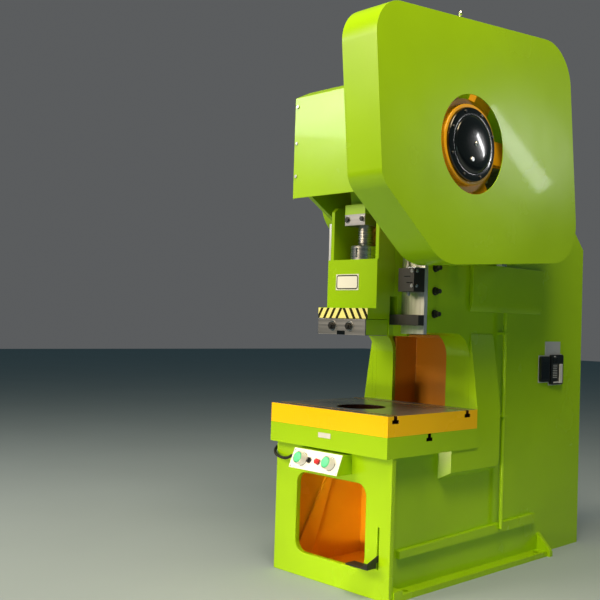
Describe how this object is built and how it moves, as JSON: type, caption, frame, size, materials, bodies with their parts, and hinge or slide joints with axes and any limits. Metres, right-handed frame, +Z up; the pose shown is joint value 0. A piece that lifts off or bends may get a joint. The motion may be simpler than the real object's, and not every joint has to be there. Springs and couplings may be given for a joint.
{
  "type": "mechanical stamping press",
  "caption": "Deep-throat mechanical stamping press with a lime-green welded frame, yellow bolster, orange open gear behind a side guard, clamped ram, knock-out bar and two-hand control box.",
  "frame": {"origin": "on the floor, straight under the ram's axis, at the underside of the base's bottom plate", "axes": "+X to the operator's right, towards the gear guard; -Y to the operator, out of the front; +Z up"},
  "size_m": [1.331, 2.2729, 2.8816],
  "materials": {
    "green_enamel": "glossy lime-green enamel over smooth filler; the inner faces of the same plates are orange",
    "orange_paint": "satin orange primer-like paint",
    "yellow_paint": "glossy yellow paint",
    "bare_steel": "bare ground steel, lightly oiled",
    "black_finish": "black, glossy on the clutch cover, satin elsewhere",
    "cast_grey": "grey, plain",
    "black_rubber": "matt black rubber",
    "white_enamel": "semi-gloss white, blank",
    "light_grey_plastic": "satin light grey",
    "mint_plastic": "glossy mint green",
    "red_plastic": "glossy red",
    "black_plastic": "satin black"
  },
  "bodies": {
    "frame": {"side_plate_right": "green_enamel", "side_plate_left": "green_enamel", "front_panel": "green_enamel", "bottom_plate": "orange_paint", "foot_rails": "green_enamel", "base_web": "orange_paint", "throat_web": "green_enamel", "throat_recess": "orange_paint", "cheek_right": "green_enamel", "cheek_left": "green_enamel", "bed_slab": "green_enamel", "bolster": "yellow_paint", "rear_casing": "green_enamel", "head_casing": "green_enamel", "head_web": "orange_paint", "gib_housings": "green_enamel", "gib_strips": "bare_steel", "gib_bolts": "black_finish", "knockout_brackets": "black_finish", "knockout_stops": "bare_steel", "crank_cover": "green_enamel", "cover_screws": "bare_steel", "gear_guard": "green_enamel", "bearing_housings": "cast_grey", "side_pocket": "green_enamel", "drain_pipe": "green_enamel", "control_box": "green_enamel", "control_panel": "white_enamel", "button_shrouds": "cast_grey", "control_cable": "black_rubber", "pedal_shaft": "black_finish", "brake_band": "green_enamel", "belt_guard": "green_enamel", "motor": "green_enamel", "drive_belts": "black_rubber", "side_switches": "black_finish", "bed_plate": "light_grey_plastic"},
    "crank": {"crankshaft": "bare_steel", "brake_drum": "cast_grey"},
    "gear": {"drive_gear": "orange_paint", "clutch_cover": "black_finish"},
    "backshaft": {"back_shaft": "bare_steel", "pinion": "bare_steel", "flywheel": "cast_grey"},
    "motor_rotor": {"motor_pulley": "cast_grey"},
    "ram": {"slide": "green_enamel", "slide_plate": "white_enamel", "clamp_block": "bare_steel", "clamp_bolts": "bare_steel", "ball_nut": "bare_steel"},
    "rod": {"adjusting_screw": "bare_steel", "con_rod": "green_enamel", "rod_bolts": "bare_steel"},
    "knockout": {"knockout_bar": "black_finish"},
    "palm_left": {"palm_button_left": "mint_plastic"},
    "palm_right": {"palm_button_right": "mint_plastic"},
    "estop": {"estop_button": "red_plastic"},
    "selector": {"selector_knob": "black_plastic"},
    "pedal_body": {"pedal": "black_finish"},
    "lever": {"breaker_lever": "light_grey_plastic"}
  },
  "joints": [
    {"name": "crank_turn", "type": "hinge", "parent": "frame", "child": "crank", "pos_m": [0, 0, 2.218], "axis": [-1, 0, 0], "range_deg": [0, 180]},
    {"name": "ram_slide", "type": "slide", "parent": "frame", "child": "ram", "axis": [0, 0, 1], "range_m": [-0.12, 0]},
    {"name": "rod_swing", "type": "hinge", "parent": "ram", "child": "rod", "pos_m": [0, 0, 1.61], "axis": [-1, 0, 0], "range_deg": [0, 5]},
    {"name": "knockout_lift", "type": "slide", "parent": "ram", "child": "knockout", "axis": [0, 0, 1], "range_m": [0, 0.08]},
    {"name": "gear_spin", "type": "hinge", "parent": "frame", "child": "gear", "pos_m": [0, 0, 2.218], "axis": [1, 0, 0], "continuous": true},
    {"name": "backshaft_spin", "type": "hinge", "parent": "frame", "child": "backshaft", "pos_m": [0, 0.5756, 2.218], "axis": [1, 0, 0], "continuous": true},
    {"name": "motor_spin", "type": "hinge", "parent": "frame", "child": "motor_rotor", "pos_m": [0, 1.205, 2.216], "axis": [1, 0, 0], "continuous": true},
    {"name": "palm_left_press", "type": "slide", "parent": "frame", "child": "palm_left", "axis": [0, 0.9285, -0.3714], "range_m": [0, 0.006], "stiffness_N_per_m": 800, "springref_m": -0.004},
    {"name": "palm_right_press", "type": "slide", "parent": "frame", "child": "palm_right", "axis": [0, 0.9285, -0.3714], "range_m": [0, 0.006], "stiffness_N_per_m": 800, "springref_m": -0.004},
    {"name": "estop_press", "type": "slide", "parent": "frame", "child": "estop", "axis": [0, 0.9285, -0.3714], "range_m": [0, 0.004]},
    {"name": "selector_turn", "type": "hinge", "parent": "frame", "child": "selector", "pos_m": [-0.068, -0.292, 0.633], "axis": [0, -0.9285, 0.3714], "range_deg": [-45, 45]},
    {"name": "pedal_press", "type": "hinge", "parent": "frame", "child": "pedal_body", "pos_m": [0.351, -0.06, 0.211], "axis": [1, 0, 0], "range_deg": [0, 8], "stiffness_Nm_per_rad": 40, "springref_deg": -8.59},
    {"name": "lever_turn", "type": "hinge", "parent": "frame", "child": "lever", "pos_m": [0.385, 1.322, 1.112], "axis": [1, 0, 0], "range_deg": [0, 60]}
  ],
  "couplings": [
    {"joint": "ram_slide", "follows": "crank_turn", "m_per_rad": -0.038197},
    {"joint": "backshaft_spin", "follows": "gear_spin", "ratio": -5.7647},
    {"joint": "motor_spin", "follows": "gear_spin", "ratio": -24.856}
  ]
}
